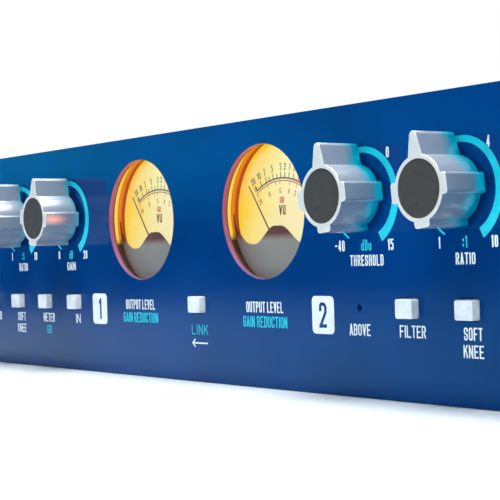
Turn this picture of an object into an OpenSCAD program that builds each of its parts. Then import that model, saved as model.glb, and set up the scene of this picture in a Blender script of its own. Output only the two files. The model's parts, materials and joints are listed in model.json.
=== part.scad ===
// Two-channel rack compressor, two rack units high, with a pair of lit meters.
// X runs along the front panel, Y from the front to the back, and Z is up.
// The origin is the centre of the rack slots, on the rear face of the front panel.

/* [Front panel] */
// Width of the front panel
panel_w = 482.6; // [480:0.1:483]
// Height of the front panel
panel_h = 88.1; // [87.6:0.1:88.9]
// Thickness of the front panel
panel_t = 2.5; // [2.5:0.1:4]
// Distance between the rack slots along the panel
slot_pitch_x = 465.1; // [464:0.1:466]
// Distance between the rack slots up the panel
slot_pitch_z = 76.2; // [76:0.1:76.4]
// Width of a rack slot
slot_w = 6.4; // [6:0.1:7]
// End-to-end length of a rack slot
slot_l = 10.3; // [9:0.1:12]

/* [Chassis] */
// Width of the chassis behind the panel
chassis_w = 434; // [428:1:440]
// Depth of the chassis behind the panel
chassis_d = 230; // [225:1:300]
// Thickness of the folded steel sheet
sheet_t = 1.2; // [1:0.1:1.5]

/* [Meters] */
// Distance between the two meters
meter_pitch = 74.2; // [73:0.1:75]
// Distance of the point midway between the meters to the right of the panel's middle
meter_shift = 0.45; // [0:0.05:0.5]
// Height of the meters above the middle of the panel
meter_z = 13.6; // [13:0.1:14]
// Radius of a meter window
window_r = 22.15; // [22:0.05:22.8]
// Distance of the needle's pivot below the window's centre
pivot_drop = 14.6; // [14:0.1:15]
// Length of the needle from pivot to tip
needle_l = 28.9; // [27:0.1:30]
// Angle of the needle to the left of upright when it rests
needle_rest = 34.9; // [30:0.1:36]

/* [Knobs] */
// Distance of the nearest knob from the middle of the panel
knob_first_x = 88.5; // [88:0.1:90]
// Distance between neighbouring knobs
knob_pitch = 40.8; // [40:0.1:42]
// How far all knobs stand to the right of an even layout
knob_shift = -0.85; // [-1.5:0.05:1.5]
// Height of the knobs above the middle of the panel
knob_z = 16.25; // [15:0.05:18]
// Height of a knob's front face above the panel
knob_top = 16.3; // [15:0.1:18]
// Gap between a knob and the panel
knob_gap = 1.5; // [1:0.1:2]
// Radius of a knob's round body
knob_r = 9.25; // [9:0.05:9.5]
// Radius of the dark disc in a knob's face
cap_r = 8.03; // [7.8:0.01:8.2]
// Radius out to a knob's three lugs
lug_r = 10.76; // [10.5:0.01:11]
// Radius out to the tip of a knob's pointer
pointer_r = 15.73; // [15:0.01:16.5]
// Clockwise angle at which the first channel's ratio knob rests
rest_ratio_1 = 4; // [-20:1:20]
// Clockwise angle at which the first channel's gain knob rests
rest_gain_1 = 5; // [-20:1:20]
// Clockwise angle at which the second channel's threshold knob rests
rest_threshold_2 = -5; // [-20:1:20]
// Clockwise angle at which the second channel's ratio knob rests
rest_ratio_2 = -6; // [-20:1:20]

/* [Buttons] */
// Distance of the left row's first button to the left of the panel's middle
left_row_x = 157.2; // [157:0.1:158]
// Distance of the right row's first button to the right of the panel's middle
right_row_x = 106.3; // [106:0.1:108]
// Distance between neighbouring buttons in a row
row_pitch = 23.9; // [23.5:0.1:24]
// Distance from a row's first button to the lamp at its left
lamp_gap = 21.8; // [21:0.1:22]
// Height of the row, below the middle of the panel
row_z = -17.15; // [-18:0.05:-16]
// Width of a button
button_w = 7.0; // [5:0.1:7.5]
// Height of a button's face
button_h = 5.7; // [5:0.1:6]
// Height of a button above the panel
button_proud = 2.6; // [2.6:0.1:5]

/* [Hidden] */
$fn = 64;
FUNCTIONS = ["filter", "soft_knee", "meter", "in"];
CONTROLS = ["threshold", "ratio", "gain"];
CHANNELS = [1, 2];

function knob_col(channel, i) = knob_shift
    + (channel == 1 ? -knob_first_x - (2 - i) * knob_pitch : knob_first_x + i * knob_pitch);
function row_x(channel, i) = (channel == 1 ? -left_row_x : right_row_x) + i * row_pitch;

// Resting angles of each channel's knobs, clockwise from upright
KNOB_REST = [[0, rest_ratio_1, rest_gain_1], [rest_threshold_2, rest_ratio_2, 0]];

// Name, place and resting angle of each control: both channels read threshold, ratio, gain
// from the left
KNOBS = [for (ch = CHANNELS, i = [0 : 2])
    [str(CONTROLS[i], "_", ch), knob_col(ch, i), KNOB_REST[ch - 1][i]]];
BUTTONS = concat([["link", 0]], [for (ch = CHANNELS, i = [0 : 3])
    [str(FUNCTIONS[i], "_", ch), row_x(ch, i)]]);
LED_X = [for (ch = CHANNELS) row_x(ch, 0) - lamp_gap];
METER_X = [for (side = [-1, 1]) side * meter_pitch / 2 + meter_shift];

STATIC = ["front_panel", "sub_panel", "chassis_tray", "top_cover", "rear_panel",
    "case_screws", "potentiometers", "pot_nuts", "switch_bodies", "front_board",
    "main_board", "board_standoffs", "board_components", "output_transformers",
    "mains_transformer", "xlr_sockets", "power_module", "indicator_leds",
    "meter_movements"];
METER_PARTS = ["vu_case_", "vu_lens_", "vu_dial_", "vu_scoop_", "needle_", "latch_tab_"];

// Depths behind the panel's rear face
lens_y = [1.3, 3.3];
scoop_y = [4.7, 5.3];
needle_y = [6.0, 6.3];
dial_y = [7.0, 7.6];
flange_y = [6.5, 8.0];
sub_y = [8.0, 9.5];
sub_cut = [sub_y[0] - 1, sub_y[1] + 1.5];
coil_y = [10, 18];
switch_y = [11, 22];
board_y = [22, 23.6];
case_y = [0.4, 26];
rear_y = [chassis_d - 1.5, chassis_d];

// Heights
bottom_z = -panel_h / 2;
floor_z = bottom_z + sheet_t;
cover_z = panel_h / 2 - 0.6;
side_top_z = cover_z - sheet_t - 0.1;
pcb_z = floor_z + 6;

panel_cut = [-panel_t - 1, 1];
rear_cut = [rear_y[0] - 1, rear_y[1] + 1];
clear = 0.05;
sub_half_w = 208;
sub_foot = 10;
button_gap = 0.25;
stem_w = 3;
lamp_r = 1.5;
lead_r = 0.4;
spindle_r = 3;
bushing_r = 3.5;
meter_case_r = 25.5;
meter_inner_r = 24.3;
meter_screw_x = 29.2;
screw_r = 1.5;
side_x = chassis_w / 2;
fold_w = 16;
cover_screw_y = [30, 115, 200];
panel_screw_z = [-32, 0, 32];

// Rear connectors: x of the sockets and of the power module
INPUT_X = [-176, -82];
OUTPUT_X = [-136, -42];
socket_z = 0;
socket_r = 11.8;
power_x = 160;
power_z = -4;
inlet_x = power_x - 14;
inlet_z = power_z + 5;
rocker_x = power_x + 18;
rocker_y = chassis_d - 1.5;
rocker_r = 9.1;
rocker_tilt = 10;
drawer_z = power_z - 11;

transformer_x = 152;
transformer_y = 92;

// A box given by its two ends along each axis
module block(x, y, z)
    translate([x[0], y[0], z[0]]) cube([x[1] - x[0], y[1] - y[0], z[1] - z[0]]);

// A round bar from y[0] to y[1]
module rod(x, y, z, r)
    translate([x, y[0], z]) rotate([-90, 0, 0]) cylinder(r = r, h = y[1] - y[0]);

// A flat profile drawn in X and Z, and as thick as y says
module plate(y) translate([0, y[1], 0]) rotate([90, 0, 0]) linear_extrude(y[1] - y[0]) children();

// A rectangle with round corners
module rounded(w, h, r) {
    square([w - 2 * r, h], center = true);
    square([w, h - 2 * r], center = true);
    for (x = [-1, 1], z = [-1, 1]) translate([x * (w / 2 - r), z * (h / 2 - r)]) circle(r);
}

// The panel's rounded slots for the rack bolts
module rack_slots() for (x = [-1, 1], z = [-1, 1])
    translate([x * slot_pitch_x / 2, z * slot_pitch_z / 2]) rounded(slot_l, slot_w, slot_w / 2 - 0.001);

module front_panel() color([0.02, 0.25, 0.48]) difference() {
    plate([-panel_t, 0]) difference() {
        square([panel_w, panel_h], center = true);
        rack_slots();
        for (b = BUTTONS) translate([b[1], row_z])
            square([button_w + 2 * button_gap, button_h + 2 * button_gap], center = true);
    }
    for (x = METER_X) rod(x, panel_cut, meter_z, window_r);
    for (side = [-1, 1], z = panel_screw_z)
        rod(side * (side_x - fold_w / 2), [0.7 - panel_t, 1], z, screw_r + clear);
    for (k = KNOBS) rod(k[1], panel_cut, knob_z, spindle_r + 0.6);
    for (x = LED_X) rod(x, panel_cut, row_z, 1);
}

// Steel plate behind the panel that carries the meters and the controls
module sub_panel() color("silver") difference() {
    union() {
        block([-sub_half_w, sub_half_w], sub_y, [floor_z, 40]);
        block([-sub_half_w, sub_half_w], [sub_y[0], sub_y[1] + sub_foot], [floor_z, floor_z + sheet_t]);
    }
    for (x = METER_X) rod(x, sub_cut, meter_z, meter_case_r + 0.2);
    for (x = METER_X, screw_x = [-1, 1] * meter_screw_x)
        rod(x + screw_x, sub_cut, meter_z, screw_r + clear);
    for (k = KNOBS) rod(k[1], sub_cut, knob_z, bushing_r + clear);
    for (b = BUTTONS) translate([b[1], 0, row_z]) plate(sub_cut) square(stem_w + 2, center = true);
    for (x = LED_X) rod(x, sub_cut, row_z, lamp_r + 1);
}

// Floor and sides with folded edges for the front and rear panels
module chassis_tray() color("silver") difference() {
    union() {
        block([-side_x, side_x], [0, chassis_d], [bottom_z, floor_z]);
        for (side = [-1, 1]) {
            wall = side < 0 ? [-side_x, -side_x + sheet_t] : [side_x - sheet_t, side_x];
            fold = side < 0 ? [-side_x, -side_x + fold_w] : [side_x - fold_w, side_x];
            block(wall, [0, chassis_d], [floor_z, side_top_z]);
            block(fold, [0, sheet_t], [floor_z, side_top_z]);
            block(fold, [rear_y[0] - sheet_t, rear_y[0]], [floor_z, side_top_z]);
        }
    }
    for (side = [-1, 1]) {
        for (z = panel_screw_z) rod(side * (side_x - fold_w / 2), [-1, 2], z, screw_r + clear);
        for (z = panel_screw_z)
            rod(side * (side_x - fold_w / 2), [rear_y[0] - 3, rear_y[1]], z, screw_r + clear);
    }
    cover_screw_holes();
}

module cover_screw_holes() for (y = cover_screw_y)
    translate([-side_x - 5, y, cover_z - 8]) rotate([0, 90, 0])
        cylinder(r = screw_r + clear, h = chassis_w + 10);

// Lid with short side lips and two rows of cooling slots
module top_cover() color("silver") difference() {
    union() {
        block([-side_x - sheet_t - 0.1, side_x + sheet_t + 0.1], [0.2, chassis_d],
            [cover_z - sheet_t, cover_z]);
        for (side = [-1, 1]) {
            lip_x = side_x + 0.1;
            lip = side < 0 ? [-lip_x - sheet_t, -lip_x] : [lip_x, lip_x + sheet_t];
            block(lip, [0.2, chassis_d], [cover_z - 14, cover_z - sheet_t]);
        }
    }
    cover_screw_holes();
    for (x = [-170 : 9 : -71], y = [150, 186])
        translate([x, y, cover_z - 3]) linear_extrude(5) rounded(3, 26, 1.49);
    for (x = [110 : 9 : 191], y = [60, 96])
        translate([x, y, cover_z - 3]) linear_extrude(5) rounded(3, 26, 1.49);
}

module rear_panel() color("silver") difference() {
    plate(rear_y) difference() {
        translate([0, (floor_z + side_top_z) / 2])
            square([chassis_w - 2 * sheet_t - 0.2, side_top_z - floor_z - 0.2], center = true);
        translate([power_x, power_z]) square([59.4, 33.4], center = true);
    }
    for (x = concat(INPUT_X, OUTPUT_X)) rod(x, rear_cut, socket_z, socket_r + 0.1);
    for (x = INPUT_X) translate([x, 0, socket_z]) latch_slot();
    for (side = [-1, 1], z = panel_screw_z)
        rod(side * (side_x - fold_w / 2), rear_cut, z, screw_r + clear);
}

// A pan-head screw along +Z with its head's seat at the origin
module screw(length) {
    cylinder(r1 = 2.8, r2 = 2.2, h = 1.7);
    translate([0, 0, -length]) cylinder(r = screw_r, h = length);
}

module case_screws() color("dimgray") {
    for (side = [-1, 1], y = cover_screw_y)
        translate([side * (side_x + sheet_t + 0.1), y, cover_z - 8]) rotate([0, side * 90, 0]) screw(5);
    for (side = [-1, 1], z = panel_screw_z) {
        x = side * (side_x - fold_w / 2);
        translate([x, rear_y[1], z]) rotate([-90, 0, 0]) screw(4.5);
        translate([x, sheet_t, z]) rotate([-90, 0, 0]) screw(2.8);
    }
    for (x = METER_X, screw_x = [-1, 1] * meter_screw_x)
        translate([x + screw_x, sub_y[1], meter_z]) rotate([-90, 0, 0]) screw(3);
}

// Round cup with a mounting flange and an inner ledge for the dial
module vu_case() color("dimgray") difference() {
    union() {
        rod(0, case_y, 0, meter_case_r);
        plate(flange_y) {
            circle(27);
            for (x = [-1, 1] * meter_screw_x) translate([x, 0]) circle(4);
        }
    }
    rod(0, [case_y[0] - 1, dial_y[1]], 0, meter_inner_r);
    rod(0, [dial_y[1] - 1, case_y[1] - 1.2], 0, meter_inner_r - 1);
    for (x = [-1, 1] * meter_screw_x) rod(x, [5, 9], 0, screw_r + clear);
}

module vu_lens() color([0.95, 0.9, 0.6, 0.4]) rod(0, lens_y, 0, meter_inner_r - clear);

module vu_dial() color([1, 0.8, 0.35]) difference() {
    rod(0, dial_y, 0, meter_inner_r - clear);
    rod(0, [dial_y[0] - 1, dial_y[1] + 1], -pivot_drop, 1.6);
}

// Upper edge of the scoop: a smooth hump over the pivot that rises again at both sides
hump_h = 5.77;
valley_z = -10.45;
function ease(t) = t <= 0 ? 0 : t >= 1 ? 1 : t * t * (3 - 2 * t);
function flank(x) = x < 14.4 ? 0 : 6 * pow((x - 14.4) / 8.4, 2);
function scoop_edge(x) = valley_z + hump_h * (1 - ease((abs(x) - 1.5) / 10.8)) + flank(abs(x));

module vu_scoop() color([0.45, 0.44, 0.42]) {
    plate(scoop_y) intersection() {
        circle(meter_inner_r - clear);
        polygon(concat([[26, -26], [-26, -26]], [for (x = [-26 : 1 : 26]) [x, scoop_edge(x)]]));
    }
    for (x = [-18, 18]) rod(x, [scoop_y[1], dial_y[0]], -13, 1);
}

// Needle, hub, spindle and moving coil, which turn together
module needle() color([0.1, 0.08, 0.08]) rotate([0, -needle_rest, 0]) {
    plate(needle_y)
        polygon([[-0.5, -5], [0.5, -5], [0.2, 0], [0.11, needle_l], [-0.11, needle_l], [-0.2, 0]]);
    rod(0, [needle_y[0] - 0.1, needle_y[1] + 0.4], 0, 1.5);
    rod(0, [needle_y[1], 19.8], 0, 0.6);
    difference() {
        block([-4.6, 4.6], coil_y, [-0.7, 0.7]);
        for (x = [[-3.6, -0.3], [0.3, 3.6]]) block(x, [coil_y[0] + 1, coil_y[1] - 1], [-1, 1]);
    }
}

// Ring magnet and rear bearing bridge of each meter
module meter_movements() color("gray") for (x = METER_X)
    translate([x, 0, meter_z - pivot_drop]) difference() {
        union() {
            rod(0, [9, 21], 0, 8.5);
            rod(0, [21, case_y[1] - 1.2], 0, 4);
        }
        rod(0, [8, 19], 0, 6);
        rod(0, [18, 20.5], 0, 0.6 + clear);
    }

module potentiometers() color([0.2, 0.3, 0.25]) for (k = KNOBS) difference() {
    union() {
        rod(k[1], [1.2, 12], knob_z, bushing_r);
        rod(k[1], [sub_y[1], board_y[0]], knob_z, 8.5);
    }
    rod(k[1], [0, 16], knob_z, spindle_r + clear);
}

module pot_nuts() color("gold") for (k = KNOBS) difference() {
    translate([k[1], sub_y[0], knob_z]) rotate([90, 0, 0]) cylinder(r = 5.8, h = 2.2, $fn = 6);
    rod(k[1], [5, 9], knob_z, bushing_r + clear);
}

module spindle() color("silver") rod(0, [-panel_t - 13.4, 15], 0, spindle_r);

// Outline of a knob: round body, three lugs and a tapering pointer at the top
module knob_outline() {
    circle(knob_r);
    for (a = [90, 180, 270]) rotate(a) translate([0, lug_r - 3]) rounded(5.92, 6, 1.2);
    polygon([[-3.4, 6], [3.4, 6], [1.5, pointer_r - 1.5], [-1.5, pointer_r - 1.5]]);
    translate([0, pointer_r - 1.5]) circle(1.5);
}

// Knob moulded as a shell round a boss, with a shallow seat for its cap
module knob() color([0.72, 0.74, 0.76]) difference() {
    plate([-panel_t - knob_top, -panel_t - knob_gap]) knob_outline();
    rod(0, [-panel_t - knob_top - 1, -panel_t - knob_top + 1], 0, cap_r);
    rod(0, [-panel_t - 13.5, 0], 0, spindle_r + 0.01);
    rod(0, [-panel_t - knob_top, -panel_t - 10], 0, 1.25);
    difference() {
        rod(0, [-panel_t - 9, 0], 0, 7.4);
        rod(0, [-panel_t - 10, 1], 0, 4.8);
    }
}

module knob_cap() color([0.12, 0.1, 0.09]) {
    rod(0, [-panel_t - knob_top + 0.15, -panel_t - knob_top + 0.95], 0, cap_r - clear);
    rod(0, [-panel_t - knob_top + 0.9, -panel_t - knob_top + 2], 0, 1.2);
}

module button() color([0.92, 0.92, 0.92]) {
    block([-button_w / 2, button_w / 2], [-panel_t - button_proud, 3], [-button_h / 2, button_h / 2]);
    plate([3, 15]) square(stem_w, center = true);
}

module switch_bodies() color([0.15, 0.15, 0.17]) for (b = BUTTONS) difference() {
    translate([b[1], 0, row_z]) plate(switch_y) square(8, center = true);
    translate([b[1], 0, row_z]) plate([switch_y[0] - 1, 19]) square(stem_w + 0.3, center = true);
}

// Upright board that joins the controls
module front_board() color([0.05, 0.35, 0.2]) difference() {
    block([-200, 200], board_y, [-34, 38]);
    for (x = METER_X) rod(x, [board_y[0] - 1, board_y[1] + 1], meter_z, meter_case_r + 0.4);
}

module indicator_leds() color("orange") {
    for (x = LED_X) {
        rod(x, [0.3, 5], row_z, lamp_r);
        rod(x, [5, board_y[0]], row_z, lead_r);
    }
    for (x = METER_X, offset_x = [-14, 14]) {
        rod(x + offset_x, [8, 12], meter_z + 2, lamp_r);
        rod(x + offset_x, [12, case_y[1] - 1.2], meter_z + 2, lead_r);
    }
}

module main_board() color([0.05, 0.35, 0.2]) difference() {
    block([-205, 82], [34, 200], [pcb_z, pcb_z + 1.6]);
    board_holes() cylinder(r = screw_r + clear, h = 20, center = true);
}

module board_holes() for (x = [-198, -62, 75], y = [41, 193]) translate([x, y, pcb_z]) children();

module board_standoffs() color("gold") board_holes() {
    translate([0, 0, floor_z - pcb_z]) cylinder(r = 3, h = pcb_z - floor_z, $fn = 6);
    cylinder(r = screw_r, h = 1.6);
    translate([0, 0, 1.6]) cylinder(r1 = 2.8, r2 = 2.2, h = 1.7);
}

// A part that stands on the main board
module on_board(x, y) translate([x, y, pcb_z + 1.6]) children();

module board_components() color([0.1, 0.12, 0.25]) {
    for (x = [-10 : 22 : 56], y = [150, 174]) on_board(x, y) cylinder(r = 8, h = 26);
    for (x = [-180 : 28 : -12], y = [62, 96]) on_board(x, y) translate([-10, -3.5, 0]) cube([20, 7, 4]);
    for (x = [-186 : 14 : -46], y = [76, 110]) on_board(x, y) cylinder(r = 3, h = 11);
    for (x = [0 : 24 : 72]) on_board(x, 60) translate([-5, -5, 0]) cube([10, 10, 8]);
    on_board(32, 118) {
        translate([-40, -2, 0]) cube([80, 4, 34]);
        for (x = [-40 : 8 : 40]) translate([x - 0.8, -12, 0]) cube([1.6, 10, 34]);
        for (x = [-24, 0, 24]) translate([x - 5, 2, 8]) cube([10, 4.4, 16]);
    }
}

// Laminated core with a wound bobbin, one for each output
module output_transformers() color([0.35, 0.3, 0.25]) for (x = [-150, -92]) on_board(x, 158) {
    translate([-16, -9, 0]) cube([32, 18, 28]);
    translate([-11, -16, 5]) cube([22, 7, 18]);
    translate([-11, 9, 5]) cube([22, 7, 18]);
}

// Ring-core winding between rubber pads, clamped by a dished plate and a bolt
module mains_transformer() translate([transformer_x, transformer_y, floor_z]) {
    color("goldenrod") translate([0, 0, 2 + clear]) rotate_extrude() translate([30.5, 18]) rounded(29, 36, 9);
    color([0.1, 0.1, 0.1]) for (z = [0, 38 + 2 * clear]) translate([0, 0, z]) washer(40, 5, 2);
    color("silver") translate([0, 0, 40 + 3 * clear]) washer(38, 4 + clear, 1.5);
    color("gray") cylinder(r = 4, h = 42);
    color("gray") translate([0, 0, 42]) cylinder(r = 7.5, h = 6, $fn = 6);
}

// A flat ring that stands on the XY plane
module washer(outer_r, inner_r, thickness) difference() {
    cylinder(r = outer_r, h = thickness);
    translate([0, 0, -1]) cylinder(r = inner_r, h = thickness + 2);
}

// Flange and barrel of a rear socket, with its fixing screws' heads
module socket_shell(cavity_r, depth) {
    difference() {
        union() {
            plate([chassis_d, chassis_d + 2]) rounded(26, 31, 3);
            rod(0, [chassis_d - 20, chassis_d + 1], 0, socket_r);
        }
        rod(0, [chassis_d + 2 - depth, chassis_d + 3], 0, cavity_r);
        children();
    }
    for (side = [-1, 1]) rod(side * 9.5, [chassis_d + 2, chassis_d + 3.2], side * 12, 2.4);
}

// Slot for the latch tab above a socket for cable plugs
module latch_slot() block([-3.2, 3.2], [chassis_d - 6, chassis_d + 3], [9.6, 13.2]);

contact_r = 1.2;
function contact_place(i) = [3.75 * cos(90 + 120 * i), 3.75 * sin(90 + 120 * i)];

module xlr_sockets() color([0.18, 0.18, 0.19]) {
    for (x = INPUT_X) translate([x, 0, socket_z]) {
        socket_shell(9.2, 13) latch_slot();
        difference() {
            rod(0, [chassis_d - 11, chassis_d + 0.5], 0, 7.2);
            for (i = [0 : 2]) rod(contact_place(i)[0], [chassis_d - 10, chassis_d + 1],
                -contact_place(i)[1], contact_r + 0.1);
        }
    }
    for (x = OUTPUT_X) translate([x, 0, socket_z]) {
        socket_shell(9.2, 16);
        for (i = [0 : 2])
            rod(contact_place(i)[0], [chassis_d - 14, chassis_d - 2], contact_place(i)[1], contact_r);
    }
}

module latch_tab() color([0.75, 0.75, 0.76]) translate([0, 0, socket_z])
    block([-3, 3], [chassis_d - 2, chassis_d + 4.5], [9.8, 13]);

// Mains inlet, fuse pocket and switch opening in one moulding
module power_module() color([0.08, 0.08, 0.08]) {
    mouth = [chassis_d - 1, chassis_d + 4];
    difference() {
        translate([power_x, 0, power_z]) {
            plate([chassis_d, chassis_d + 2.5]) rounded(64, 38, 2);
            plate([chassis_d - 28, chassis_d + 1]) square([59, 33], center = true);
        }
        translate([inlet_x, 0, inlet_z]) plate([chassis_d - 14, chassis_d + 4]) rounded(24.4, 16.4, 2.5);
        translate([inlet_x, 0, drawer_z])
            plate([chassis_d - 22, chassis_d + 4]) square([24, 7], center = true);
        translate([rocker_x - 6.5, rocker_y, power_z]) rotate([0, 90, 0])
            cylinder(r = rocker_r + 0.3, h = 13);
        translate([rocker_x, 0, power_z]) plate(mouth) square([13, 18.8], center = true);
    }
    for (blade = [[-7, -1.5], [7, -1.5], [0, 2.5]]) translate([inlet_x + blade[0], 0, inlet_z + blade[1]])
        plate([chassis_d - 15, chassis_d]) square([2, 4], center = true);
}

module fuse_drawer() color([0.16, 0.16, 0.16]) translate([inlet_x, 0, drawer_z]) {
    difference() {
        block([-11.7, 11.7], [chassis_d - 20, chassis_d + 2.5], [-3.2, 3.2]);
        block([-10.5, 10.5], [chassis_d - 18, chassis_d - 2], [-2.4, 4]);
    }
    block([-9, 9], [chassis_d + 2.5, chassis_d + 4.2], [-3.2, -1.2]);
}

// Rocker with a shallow hollow across its face, resting with its upper end pressed in
module power_rocker() color([0.1, 0.1, 0.1]) translate([rocker_x - 6.2, rocker_y, power_z])
    rotate([rocker_tilt, 0, 0]) rotate([90, 0, 90]) linear_extrude(12.4) intersection() {
        circle(rocker_r);
        polygon([[-10, -10], [-10, 10], [4.6, 10], [4.6, 7.6], [2.9, 0], [4.6, -7.6], [4.6, -10]]);
    }

// Each single node, drawn on its own or with the rest
front_panel();
sub_panel();
chassis_tray();
top_cover();
rear_panel();
case_screws();
potentiometers();
pot_nuts();
switch_bodies();
front_board();
main_board();
board_standoffs();
board_components();
output_transformers();
mains_transformer();
xlr_sockets();
power_module();
indicator_leds();
meter_movements();
power_rocker();
fuse_drawer();

// One of each per channel
for (ch = CHANNELS) {
    x = METER_X[ch - 1];
    translate([x, 0, meter_z]) vu_case();
    translate([x, 0, meter_z]) vu_lens();
    translate([x, 0, meter_z]) vu_dial();
    translate([x, 0, meter_z]) vu_scoop();
    translate([x, 0, meter_z - pivot_drop]) needle();
    translate([INPUT_X[ch - 1], 0, 0]) latch_tab();
}

// One of each per knob
for (k = KNOBS) {
    translate([k[1], 0, knob_z]) rotate([0, k[2], 0]) knob();
    translate([k[1], 0, knob_z]) knob_cap();
    translate([k[1], 0, knob_z]) spindle();
}

// One for each push button
for (b = BUTTONS)
    translate([b[1], 0, row_z]) button();
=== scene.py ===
import json
import math

import bmesh
import bpy
from mathutils import Matrix, Vector
from mathutils.geometry import tessellate_polygon


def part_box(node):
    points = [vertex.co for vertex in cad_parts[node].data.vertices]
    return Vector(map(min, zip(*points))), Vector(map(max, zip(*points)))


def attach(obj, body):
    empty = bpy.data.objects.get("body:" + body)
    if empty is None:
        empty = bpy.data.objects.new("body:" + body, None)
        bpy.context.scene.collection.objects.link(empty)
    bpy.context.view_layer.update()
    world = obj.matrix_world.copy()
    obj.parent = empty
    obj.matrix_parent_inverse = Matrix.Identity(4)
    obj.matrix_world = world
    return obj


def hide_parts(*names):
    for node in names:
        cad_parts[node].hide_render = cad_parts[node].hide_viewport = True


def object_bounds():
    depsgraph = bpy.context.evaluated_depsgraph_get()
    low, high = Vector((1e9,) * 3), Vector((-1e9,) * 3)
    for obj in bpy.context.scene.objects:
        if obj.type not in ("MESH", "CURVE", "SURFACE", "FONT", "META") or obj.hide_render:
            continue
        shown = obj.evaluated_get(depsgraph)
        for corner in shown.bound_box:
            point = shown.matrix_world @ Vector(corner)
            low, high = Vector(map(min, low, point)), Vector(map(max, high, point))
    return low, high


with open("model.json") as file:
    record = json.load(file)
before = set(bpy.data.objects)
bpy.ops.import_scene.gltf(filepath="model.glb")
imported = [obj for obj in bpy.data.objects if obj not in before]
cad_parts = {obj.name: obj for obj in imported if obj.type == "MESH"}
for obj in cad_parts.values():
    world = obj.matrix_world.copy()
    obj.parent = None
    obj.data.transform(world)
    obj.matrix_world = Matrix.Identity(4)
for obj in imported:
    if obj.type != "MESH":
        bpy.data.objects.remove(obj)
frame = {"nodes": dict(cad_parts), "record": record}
CAD_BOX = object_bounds()

MM = 0.001


def middle(node):
    """The centre of a CAD node's box."""
    low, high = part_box(node)
    return (low + high) / 2


PANEL_LOW, PANEL_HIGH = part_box("front_panel")
FRONT_Y = PANEL_LOW.y
FLOOR_Z = CAD_BOX[0].z

CHANNELS = (1, 2)
KNOB_NAMES = [n.removeprefix("spindle_") for n in frame["nodes"] if n.startswith("spindle_")]
BUTTON_NAMES = [n.removeprefix("button_") for n in frame["nodes"] if n.startswith("button_")]
METER = {ch: middle(f"vu_lens_{ch}") for ch in CHANNELS}
KNOB = {name: middle(f"spindle_{name}") for name in KNOB_NAMES}
BUTTON = {name: middle(f"button_{name}") for name in BUTTON_NAMES}
ROW_Z = BUTTON["link"].z
# Angle from upright at which each knob rests, clockwise, from the middle of its joint's range
KNOB_REST = {joint["name"].removeprefix("turn_"): -math.radians(sum(joint["range_deg"]) / 2)
             for joint in frame["record"]["behaviour"]["joints"] if joint["name"].startswith("turn_")}
UPRIGHT_KNOB = min(KNOB_REST, key=lambda name: abs(KNOB_REST[name]))

# Sizes that the prints and the mesh pieces share, in metres
WINDOW_R = 22.15 * MM
PANEL_CORNER_R = 0.8 * MM
PANEL_BEVEL = 0.18 * MM
SPINDLE_HOLE_R = 3.6 * MM
LAMP_HOLE_R = 1 * MM
LAMP_GAP = 21.8 * MM
BUTTON_GAP = 0.25 * MM
BUTTON_BACK_Y = 3 * MM
BUTTON_CORNER_R = 0.7 * MM
PIVOT_DROP = 14.6 * MM
PIVOT_HOLE_R = 1.6 * MM
KNOB_BODY_R = 9.25 * MM
KNOB_FRONT_Y, KNOB_BACK_Y = (c.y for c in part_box(f"knob_{KNOB_NAMES[0]}"))
KNOB_BEVEL = 0.32 * MM
LUG_HALF = 2.96 * MM
LUG_CORNER = 1.2 * MM
TIP_R = 1.5 * MM
POINTER_FOOT = (3.4 * MM, 6 * MM)
CASE_INNER_R = 24.5 * MM
SOCKET_INSERT_R = 9.3 * MM
PRINT_T = 0.04 * MM
# Crossing strokes lie this far above one another, in turns of so many layers
LAYER_STEP = 0.003 * MM
LAYERS = 5
LABEL_SHIFT = {1: -1.6 * MM, 2: 0}
STROKE = 0.46 * MM
GLYPH_W = 1.25 * MM
NUMBER_BOX_X = 67.4 * MM
KNOB_TEXT_SHIFT = 0.85 * MM
ARC_SHIFT = Vector((0.2 * MM, -0.3 * MM))
ARC_R = 14 * MM
ARC_END = math.radians(150)
BUTTON_TEXT_SHIFT = 1.1 * MM
FIRST_LINE_Z = -25.55 * MM
SECOND_LINE_Z = -30.4 * MM
TEXT_H = 3.6 * MM


# Camera ----------------------------------------------------

def add_camera():
    """The photograph's viewpoint: to the right of the panel, level with its middle."""
    yaw = math.radians(-53.27)
    pitch = math.radians(-0.02)
    roll = math.radians(-1.85)
    ahead = Vector((math.sin(yaw) * math.cos(pitch), math.cos(yaw) * math.cos(pitch), math.sin(pitch)))
    level = Vector((math.cos(yaw), -math.sin(yaw), 0))
    upward = level.cross(ahead)
    right = math.cos(roll) * level + math.sin(roll) * upward
    up = math.cos(roll) * upward - math.sin(roll) * level
    data = bpy.data.cameras.new("camera")
    data.sensor_width = 36
    data.lens = 101.04
    data.clip_start = 0.01
    data.clip_end = 100
    camera = bpy.data.objects.new("camera", data)
    turn = Matrix((right, up, -ahead)).transposed().to_4x4()
    camera.matrix_world = Matrix.Translation((0.4024, -0.27988, 0.00133)) @ turn
    bpy.context.scene.collection.objects.link(camera)
    bpy.context.scene.camera = camera


# Outlines in X and Z ---------------------------------------

NEARLY_STRAIGHT = 3.1


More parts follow.
